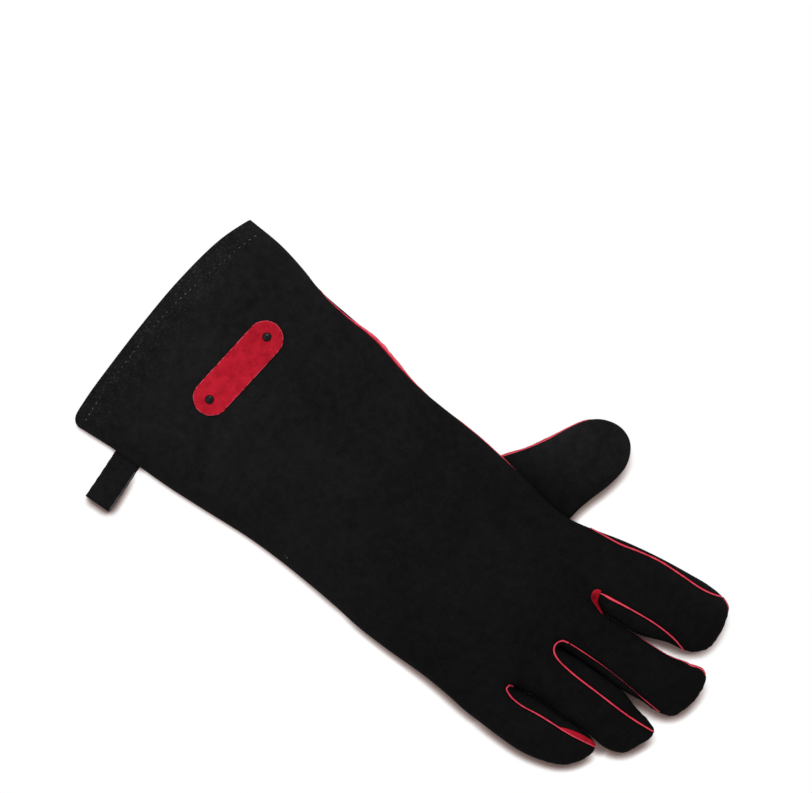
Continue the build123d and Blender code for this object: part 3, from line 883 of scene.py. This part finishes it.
radial = side_stretch(
    (-77, -192.4), (-59.3, 88.5),
    along_y(
        [-192, -152, -136, -131, -124, -110, -102, -95, -67, -57, -46, -36, -26, -14, 20, 38, 88],
        [-0.55, -0.55, -0.3, 0, 0.9, 1.4, 1.1, 0.7, 0.6, 0.4, 0, -0.5, -0.5, 0, 0, -0.55, -0.55],
    ),
)
radial_radius = along_y(
    [-192, -122, -108, -98, -82, -67, -57, -46, 88],
    [0.3, 0.28, 0.6, 1.1, 1.45, 1.2, 0.75, 0.35, 0.4],
)
welts += beads("welt_radial", radial, radial_radius, lit=(3, 4))
welts += beads("welt_ulnar", side_stretch((76, 97), (87, -192.5), -2.0), 0.65)
middle_lean = along_y([127, 140, 154, 183, 188, 199], [-0.6, -0.6, 0, 0, 0.5, 0.3])
middle_radial = side_stretch((-23.4, 127), (-32.6, 198), middle_lean)
middle_radius = along_y(
    [127, 150, 165, 183, 188, 194, 199], [0.25, 0.25, 0.35, 0.5, 0.95, 1.05, 0.5]
)
welts += beads("welt_middle_radial", middle_radial, middle_radius)


def index_lean(points):
    """The end welt of the index finger comes from under the tip onto its silhouette."""
    return np.interp(points[:, 0], [-73.5, -69], [0.1, -0.8])


for finger, start, end, lean in (
    ("index", (-76.2, 177), (-36, 178), index_lean),
    ("middle", (-31.7, 199.2), (3.7, 188), -0.8),
    ("ring", (13.2, 194.6), (40.6, 178), -0.8),
    ("little", (46, 173.8), (75.5, 123), -0.8),
):
    welts += beads(f"welt_{finger}_end", side_stretch(start, end, lean), 0.6)

WELT_NODES = {
    "main": ["cuff_side_welts", "hand_side_welts"],
    **{part: [part + "_welts"] for part in FINGER_PARTS},
}
for where, nodes in WELT_NODES.items():
    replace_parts(next(piece for region, piece in welts if region == where), *nodes)

# The thumb's welt shows along the side towards the cuff, and turns under at the tip.
thumb_line = thumb_outline[(thumb_outline[:, 0] < -57)]
cuff_side = 1 - smoothstep(thumb_line[:, 1], 42, 54)
shift = 0.15 * cuff_side - 1.0 * (1 - cuff_side)
thumb_line = thumb_line + leftward(np.gradient(thumb_line, axis=0)) * shift[:, None]
thumb_seam_z = np.where(cuff_side > 0.87, THUMB_SEAM_Z, thumb_bottom(thumb_line))


def thumb_radius(points):
    places, radii = [-118, -106, -97, -84, -70, -58], [0.3, 0.35, 0.5, 0.85, 0.7, 0.8]
    return np.interp(points[:, 0], places, radii)


thumb_path = np.column_stack([thumb_line, thumb_seam_z])
thumb_welt = beads("welt_thumb", thumb_path, thumb_radius, region="thumb")
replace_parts(thumb_welt[0][1], "thumb_welts")


# --- flat leather pieces laid on the glove ---
SHEET_EDGE_ROUND = 0.35


def laid_sheet(name, outline, lift, thickness, region, spacing, nodes=(), rim_material=None):
    """A thin piece of red hide that follows the back of the glove, with eased edges. Here and there
    its rim shows the paler rim material."""
    pts, tris = triangulate(outline, spacing=spacing)
    away = distance(pts, closed(outline))
    ground = top_height(pts) + lift
    eased_edge = thickness * (0.72 + 0.28 * rounded(away, SHEET_EDGE_ROUND))
    outer = ground + eased_edge + 0.08 * lumps(pts, 3.0, 6.6)
    n = len(pts)
    faces = [tuple(t) for t in tris] + [tuple(t) for t in tris[:, ::-1] + n]
    border = [k for k in range(n) if away[k] < 0.005]
    ring = []
    for p in outline:
        k = border[int(np.argmin([np.linalg.norm(pts[b] - p) for b in border]))]
        if not ring or ring[-1] != k:
            ring.append(k)
    faces += [(a, a + n, b + n, b) for a, b in zip(ring, ring[1:] + ring[:1])]
    obj = new_mesh(name, sheets(pts, outer, ground), faces, red_suede)
    if rim_material:
        obj.data.materials.append(rim_material)
        pale_here = lumps(pts, 2.3, 1.1) > -0.12
        for number, tri in enumerate(tris):
            if away[tri].min() < 0.005 and pale_here[tri[0]]:
                obj.data.polygons[number].material_index = 1
    attach(obj, region, "red_suede", *nodes)


def stadium(centre, length, width, turn, step=1.2):
    """Outline of a slot-shaped label."""
    radius, reach = width / 2, (length - width) / 2
    pts = []
    for side in (1, -1):
        for a in np.arange(-90, 90, math.degrees(step / radius)):
            t = math.radians(a + (0 if side > 0 else 180))
            pts.append((side * reach + radius * math.cos(t), radius * math.sin(t)))
        for s in np.arange(0, 2 * reach, step):
            pts.append((side * (reach - s), side * radius))
    pts = np.array(pts)
    angle = math.radians(turn)
    spin = np.array([[math.cos(angle), -math.sin(angle)], [math.sin(angle), math.cos(angle)]])
    pts = pts @ spin.T + np.array(centre)
    kept_points = [pts[0]]
    for p in pts[1:]:
        if np.linalg.norm(p - kept_points[-1]) > 0.5 * step:
            kept_points.append(p)
    return np.array(kept_points)


LABEL_CENTRE = np.array((-2.0, -140.6))
LABEL_TURN = -4.0
LABEL_THICKNESS = 1.35
RIVET_REACH = 25.5  # from the label's middle to each rivet
label_outline = stadium(LABEL_CENTRE, 70, 22, LABEL_TURN)
from_middle = label_outline - LABEL_CENTRE
label_outline = LABEL_CENTRE + from_middle * (1 + 0.012 * lumps(label_outline, 4.5, 2.6))[:, None]
laid_sheet("label", label_outline, 0.02, LABEL_THICKNESS, "cuff", 1.6, ["label_patch"], red_highlight_and_pale_rim)


def turned(profile, centre, up, turns=28):
    """A round part from (radius, height) pairs."""
    side = up.orthogonal().normalized()
    other = up.cross(side)
    co = []
    for radius, height in profile:
        for k in range(turns):
            a = 2 * math.pi * k / turns
            level = centre + side * radius * math.cos(a) + other * radius * math.sin(a)
            co.append(level + up * height)
    faces = ring_quads(len(profile), turns)
    faces.append(tuple(reversed(range(turns))))
    faces.append(tuple((len(profile) - 1) * turns + k for k in range(turns)))
    return co, faces


def surface_frame(spot):
    """The point on the back of the glove over a plan point, and the surface's normal there."""
    e = 1.5
    around = np.array([spot, spot + (e, 0), spot - (e, 0), spot + (0, e), spot - (0, e)])
    z = top_height(around)
    up = Vector((-(z[1] - z[2]) / (2 * e), -(z[3] - z[4]) / (2 * e), 1)).normalized()
    return Vector((spot[0], spot[1], z[0])), up


CAP = [
    (0.01, 1.55), (0.9, 1.5), (1.7, 1.33), (2.3, 1.02), (2.66, 0.6), (2.75, 0.25), (2.62, 0.0),
    (1.2, -0.1), (0.01, -0.1),
]
POST_AND_WASHER = [(1.35, 1.3), (1.35, -1.55), (3.2, -1.6), (3.1, -2.3), (0.01, -2.35)]
direction = np.array((math.cos(math.radians(LABEL_TURN)), math.sin(math.radians(LABEL_TURN))))
for name, outline, lift, paint, slot_name, nodes in (
    ("rivet_domes", CAP, LABEL_THICKNESS, black_paint, "black_rivet", ["rivet_caps"]),
    ("rivet_stems", POST_AND_WASHER, 0, steel, "steel_rivet", ["rivet_posts", "rivet_washers"]),
):
    co, faces = [], []
    for side in (-RIVET_REACH, RIVET_REACH):
        ground, up = surface_frame(LABEL_CENTRE + direction * side)
        gather(co, faces, *turned(outline[::-1], ground + up * lift, up))
    attach(new_mesh(name, co, faces, paint), "cuff", slot_name, *nodes)


# --- stitching ---
def stitches(
    name, line, height, lift, thread, region, pitch=3.4, size=(2.2, 0.6), nodes=(), sign=-1,
    sunk=0.0,
):
    """Single stitches along a plan line, each a short bead that dives in at both ends. Sign is 1
    on the back of the glove and -1 under the palm, and sunk is how far some lie in the nap."""
    gaps = np.linalg.norm(np.diff(line, axis=0), axis=1)
    total = np.concatenate([[0], np.cumsum(gaps)])
    spots = np.arange(pitch / 2, total[-1], pitch)
    co, faces = [], []
    for n, s in enumerate(spots):
        shift = 0.25 * noise.noise(Vector((n * 0.7, 2.2, 5.5)))
        ends = np.linspace(s - size[0] / 2, s + size[0] / 2, 7) + shift
        pts = np.column_stack([np.interp(ends, total, line[:, axis]) for axis in (0, 1)])
        arch = np.sin(np.linspace(0, math.pi, 7))
        z = height(pts) + sign * (lift - 0.35 + 0.45 * arch)
        z -= sign * sunk * (0.5 + 0.5 * noise.noise(Vector((n * 0.37, 9.1, 1.5))))
        radii = size[1] / 2 * (0.55 + 0.45 * arch)
        gather(co, faces, *tube_mesh(np.column_stack([pts, z]), radii, 0.8, 6))
    attach(new_mesh(name, co, faces, thread), region, "thread", *nodes)


hem_line = smooth([
    (82, -193.9), (60, -195.7), (34, -196.3), (6.5, -196.0), (-9, -194.9), (-28.3, -191.6),
    (-48, -188), (-65.6, -184.6), (-73.5, -182.4),
])
stitches(
    "hem_stitching_back", hem_line, top_height, 0.2, grey_thread, "cuff", 3.9, (1.7, 0.6),
    ["hem_stitches"], 1, 0.7,
)
stitches("hem_stitching_palm", hem_line, bottom_height, 0.05, grey_thread, "cuff", 3.9, (2.2, 0.65))

# --- hanging loop ---
LOOP_TURN = math.radians(4)
loop_dir = np.array((math.cos(LOOP_TURN), math.sin(LOOP_TURN)))
loop_across = np.array((-loop_dir[1], loop_dir[0]))
LOOP_START = np.array((78.0, -160.6))
LOOP_PROFILE = [
    (0, 9.6), (6, 10.2), (12, 8.9), (20, 6.4), (28, 4.9), (34, 4.6), (37.6, 4.3), (39.1, 3.1),
    (38.6, 1.9), (36.5, 1.3), (30, 1.3), (22, 1.6), (14, 3.2), (8, 6.4), (0, 7.4),
]
LOOP_EDGE_START = 10  # row from which the raw edge shows
loop_line = smooth(LOOP_PROFILE, 1.0)
fold_row = int(np.argmax(loop_line[:, 0]))
across = leftward(np.gradient(loop_line, axis=0))
widths = [*np.linspace(-8.8, 8.0, 11), 8.8]
loop_co, loop_faces, edge_faces = [], [], []
for sheet in (LEATHER / 2, -LEATHER / 2):
    for s, z in loop_line + across * sheet:
        for w in widths:
            xy = LOOP_START + loop_dir * s + loop_across * (w * (1 + 0.01 * math.sin(s)))
            sag = 0.25 * noise.noise(Vector((s / 9, w / 9, 7.7)))
            loop_co.append((xy[0], xy[1], z + sag))
rows, cols = len(loop_line), len(widths)
other = rows * cols
for n in range(rows - 1):
    for k in range(cols - 1):
        a = n * cols + k
        loop_faces.append((a, a + 1, a + cols + 1, a + cols))
        loop_faces.append((other + a, other + a + cols, other + a + cols + 1, other + a + 1))
    a, b = n * cols, n * cols + cols - 1
    edge_faces.append((a, a + cols, other + a + cols, other + a))
    edge_faces.append((b, other + b, other + b + cols, b + cols))
loop = new_mesh("hanging_strip", loop_co, loop_faces + edge_faces, black_suede)
loop.data.materials.append(cut_edge)
for n in range(len(loop_faces), len(loop_faces) + len(edge_faces)):
    loop.data.polygons[n].material_index = 1
    loop.data.polygons[n].use_smooth = False
# The raw edge of the hide shows as a pale line along one side of the upper run.
for n in range(LOOP_EDGE_START, fold_row + 1):
    loop.data.polygons[2 * (n * (cols - 1) + cols - 2)].material_index = 1
attach(loop, "hang_loop", "black_suede", "hang_loop")


# --- red reinforcement under the palm ---
def round_corners(points, radii, step=1.5):
    """A closed polygon whose corners are rounded by the given radii."""
    out = []
    count_points = len(points)
    for n in range(count_points):
        p, a, b = (np.array(points[k], float) for k in (n, n - 1, (n + 1) % count_points))
        r = radii[n]
        if r == 0:
            out.append(p)
            continue
        da, db = (a - p) / np.linalg.norm(a - p), (b - p) / np.linalg.norm(b - p)
        half = math.acos(np.clip(np.dot(da, db), -1, 1)) / 2
        reach = r / math.tan(half)
        middle_dir = (da + db) / np.linalg.norm(da + db)
        centre = p + middle_dir * r / math.sin(half)
        start, end = p + da * reach - centre, p + db * reach - centre
        a0, a1 = math.atan2(start[1], start[0]), math.atan2(end[1], end[0])
        sweep = (a1 - a0 + math.pi) % (2 * math.pi) - math.pi
        for t in np.linspace(0, 1, max(3, int(abs(sweep) * r / step) + 1)):
            out.append(centre + r * np.array((math.cos(a0 + sweep * t), math.sin(a0 + sweep * t))))
    dense = []
    for p, q in zip(out, out[1:] + out[:1]):
        steps = max(1, int(np.linalg.norm(q - p) / step))
        dense += [p + (q - p) * t for t in np.arange(steps) / steps]
    return np.array(dense)


PATCH = [
    (-55, 81), (-67, 150), (-69.5, 181), (-38.5, 181), (-37, 150), (-31, 101), (74.2, 100),
    (72.5, 44), (74.5, 6.5), (-26, 6.5), (-46, 64),
]
PATCH_ROUND = [0, 0, 15.3, 15.3, 0, 8, 4, 0, 4, 3, 0]
PATCH_THICKNESS = 1.3
PATCH_STRETCHES = (
    ("main", -50, ROOTS["index"], "palm_patch"),
    ("index_base", ROOTS["index"], CUTS["index"], "index_patch_base"),
    ("index_tip", CUTS["index"], 300, "index_patch_tip"),
)
patch_outline = round_corners(PATCH, PATCH_ROUND)
patch_cuts = [
    np.array([(x, h) for x in np.arange(-75, -30, 1.7)]) for h in (ROOTS["index"], CUTS["index"])
]
patch_plan, patch_tris = triangulate(patch_outline, cuts=patch_cuts)
patch_away = distance(patch_plan, closed(patch_outline))
patch_ground = bottom_height(patch_plan) - 0.02
eased_thickness = PATCH_THICKNESS * (0.6 + 0.4 * np.clip(patch_away / 0.8, 0, 1))
patch_outer = patch_ground - eased_thickness + 0.06 * lumps(patch_plan, 6, 2.0)
n_patch = len(patch_plan)
patch_co = sheets(patch_plan, patch_ground, patch_outer)
patch_centre_y = patch_plan[patch_tris].mean(1)[:, 1]
patch_border = {k for k in range(n_patch) if patch_away[k] < 0.01}
for region, low, high, node in PATCH_STRETCHES:
    chosen_tris = patch_tris[(patch_centre_y > low) & (patch_centre_y <= high)]
    faces = [tuple(t) for t in chosen_tris] + [tuple(t) for t in chosen_tris[:, ::-1] + n_patch]
    sides = {(t[k - 1], t[k]): True for t in chosen_tris for k in (1, 2, 0)}
    for a, b in sides:
        if (b, a) not in sides and a in patch_border and b in patch_border:
            faces.append((b, a, a + n_patch, b + n_patch))
    piece = new_mesh(f"patch_{region}", *compact(patch_co, faces), red_suede)
    attach(piece, region, "red_suede", node)


def under(line, drop):
    """A path below the underside of the glove."""
    return np.column_stack([line, bottom_height(line) - drop])


wrist = smooth([(-50, 4.4), (-20, 4.9), (20, 5), (60, 4.6), (72, 4.8)])
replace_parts(beads("welt_wrist", under(wrist, 0.5), 0.9, "main")[0][1], "wrist_welt")
base_line = smooth([
    (-24, 124), (-22, 113), (-14, 109.5), (10, 108.8), (30, 109.2), (38, 112), (41, 122),
])
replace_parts(beads("welt_knuckles", under(base_line, 0.0), 0.8)[0][1], "knuckle_welt")


def inset_line(outline, inset, keep):
    """A line of stitching inside an outline."""
    normal = leftward(np.roll(outline, -1, 0) - np.roll(outline, 1, 0))
    line = outline + normal * inset
    if not inside(line[:5], outline).any():
        line = outline - normal * inset
    line = line[distance(line, closed(outline)) > inset * 0.97]
    return line[keep(line)]


def patch_face(p):
    return bottom_height(p) - 0.02 - PATCH_THICKNESS


STITCHING_START = 10  # no rows of stitching run along the patch below this y, mm
for number, inset in enumerate((2.0, 7.5)):
    for region, low, high, _ in PATCH_STRETCHES:
        low = max(low, STITCHING_START)
        line = inset_line(patch_outline, inset, lambda p: (p[:, 1] > low) & (p[:, 1] < high))
        runs, run = [], [line[0]]
        for p, q in zip(line, line[1:]):
            if np.linalg.norm(q - p) > 6:
                runs.append(run)
                run = []
            run.append(q)
        runs.append(run)
        for k, run in enumerate(r for r in runs if len(r) > 5):
            name = f"patch_stitching_{number}_{region}_{k}"
            stitches(name, np.array(run), patch_face, 0.1, dark_thread, region)
for k, (a, b) in enumerate((((73.5, 90), (8, 48)), ((72, 10), (14, 50)))):
    name = f"palm_cross_stitching_{k}"
    stitches(name, np.linspace(a, b, 40), patch_face, 0.1, dark_thread, "main")

# --- red gussets at the roots of the fingers ---
gusset = smooth([
    (-33.4, 115.4), (-32.4, 112.8), (-29.9, 111.6), (-26.3, 113.1), (-24.1, 118.1), (-22.4, 125.6),
    (-25, 121.4), (-26.9, 118.4), (-30.5, 116.2), (-33.4, 115.4),
], 0.8)[:-1]
laid_sheet("gusset_index_middle", gusset, 0, 1.15, "hand", 0.8)
wedge = smooth([
    (48.4, 145), (46.2, 157), (43.6, 172.6), (42.0, 170.8), (42.4, 163), (44.6, 154), (48.4, 145),
], 0.8)[:-1]
laid_sheet("gusset_little", wedge, -0.2, 0.75, "little_tip", 0.8)

# --- stage ---
scene = bpy.context.scene
scene.view_settings.view_transform = "Standard"
scene.world = bpy.data.worlds.new("studio")
scene.world.use_nodes = True
sky = scene.world.node_tree
seen_by_camera = add_node(sky, "LightPath", {}).outputs["Is Camera Ray"]
strength = eased(sky, seen_by_camera, 0, 1, 0.75, 1, "LINEAR")
feed(sky.nodes["Background"], {"Strength": strength, "Color": (1, 1, 1, 1)})

FLOOR_Z = -0.0004  # just clear of the glove's underside, m
bpy.ops.mesh.primitive_plane_add(size=6, location=(0, 0, FLOOR_Z))
floor = bpy.context.object
floor.name = "floor"
# The floor is see-through: a transparent shader over the white world, coloured white with painted
# shadow found by ambient occlusion.
paper, tree, shader = material("paper")
tree.nodes.remove(shader)


def openness(reach, samples, **more):
    """How open the floor is to things within reach, from 0 to 1."""
    node = add_node(tree, "AmbientOcclusion", {"Distance": reach, **more}, samples=samples)
    return node.outputs["AO"]


def heading(x, y, z):
    return add_node(tree, "CombineXYZ", {"X": x, "Y": y, "Z": z}).outputs[0]


# Painted shadow: a brown shade, found by ambient occlusion turned towards the light, falls away
# from the light, wider beside the hand than beside the cuff.
on_floor = add_node(tree, "SeparateXYZ", {0: object_place(tree)}).outputs
shade_width = eased(tree, on_floor["Y"], -0.08, 0.12, 0.0075, 0.0108)
contact = openness(shade_width, 32, Normal=heading(-0.75, -0.60, 0.28))
shade = ramp(
    tree, contact, (0.0, (0.004, 0.003, 0.003)), (0.3, (0.06, 0.045, 0.04)),
    (0.62, (0.16, 0.11, 0.10)), (0.76, (0.62, 0.55, 0.53)), (0.86, (1, 1, 1)),
)
# The painted shade is black in the slits between the fingers.
in_the_open = eased(tree, openness(0.012, 8), 0.12, 0.42, 0, 1)
darkened = scaled(tree, shade, in_the_open)
# None falls where the glove itself dips through the floor, as it does when it bends.
nothing_below = eased(tree, openness(0.03, 8, Normal=heading(0, 0, -1)), 0.8, 0.98, 0, 1)
painted_shadow_color = mixed(tree, nothing_below, (1, 1, 1, 1), darkened)
clear = add_node(tree, "BsdfTransparent", {"Color": painted_shadow_color})
feed(tree.nodes["Material Output"], {"Surface": clear.outputs[0]})
floor.data.materials.append(paper)
floor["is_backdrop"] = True


def area_light(name, place, aim, size, power):
    data = bpy.data.lights.new(name, "AREA")
    data.shape = "SQUARE"
    data.size, data.energy = size, power
    obj = bpy.data.objects.new(name, data)
    obj.location = place
    obj.rotation_euler = (Vector(aim) - Vector(place)).to_track_quat("-Z", "Y").to_euler()
    scene.collection.objects.link(obj)


IMAGE_UP = Vector((-0.7826, -0.6225, 0))
IMAGE_RIGHT = Vector((-0.6225, 0.7826, 0))
CENTRE = Vector((-0.0517, -0.0508, 0.015))
area_light("key", CENTRE + IMAGE_UP * 1.0 + Vector((0, 0, 1.2)), CENTRE, 1.0, 14)
area_light("fill", CENTRE - IMAGE_RIGHT * 1.0 + Vector((0, 0, 1.3)), CENTRE, 1.2, 5)

camera_data = bpy.data.cameras.new("camera")
camera_data.lens = 131
camera_data.sensor_width = 36
camera = bpy.data.objects.new("camera", camera_data)
scene.collection.objects.link(camera)
turn = Matrix((IMAGE_RIGHT, IMAGE_UP, Vector((0, 0, 1)))).transposed()
camera.matrix_world = Matrix.Translation(CENTRE + Vector((0, 0, 1.8))) @ turn.to_4x4()
scene.camera = camera

low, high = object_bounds()
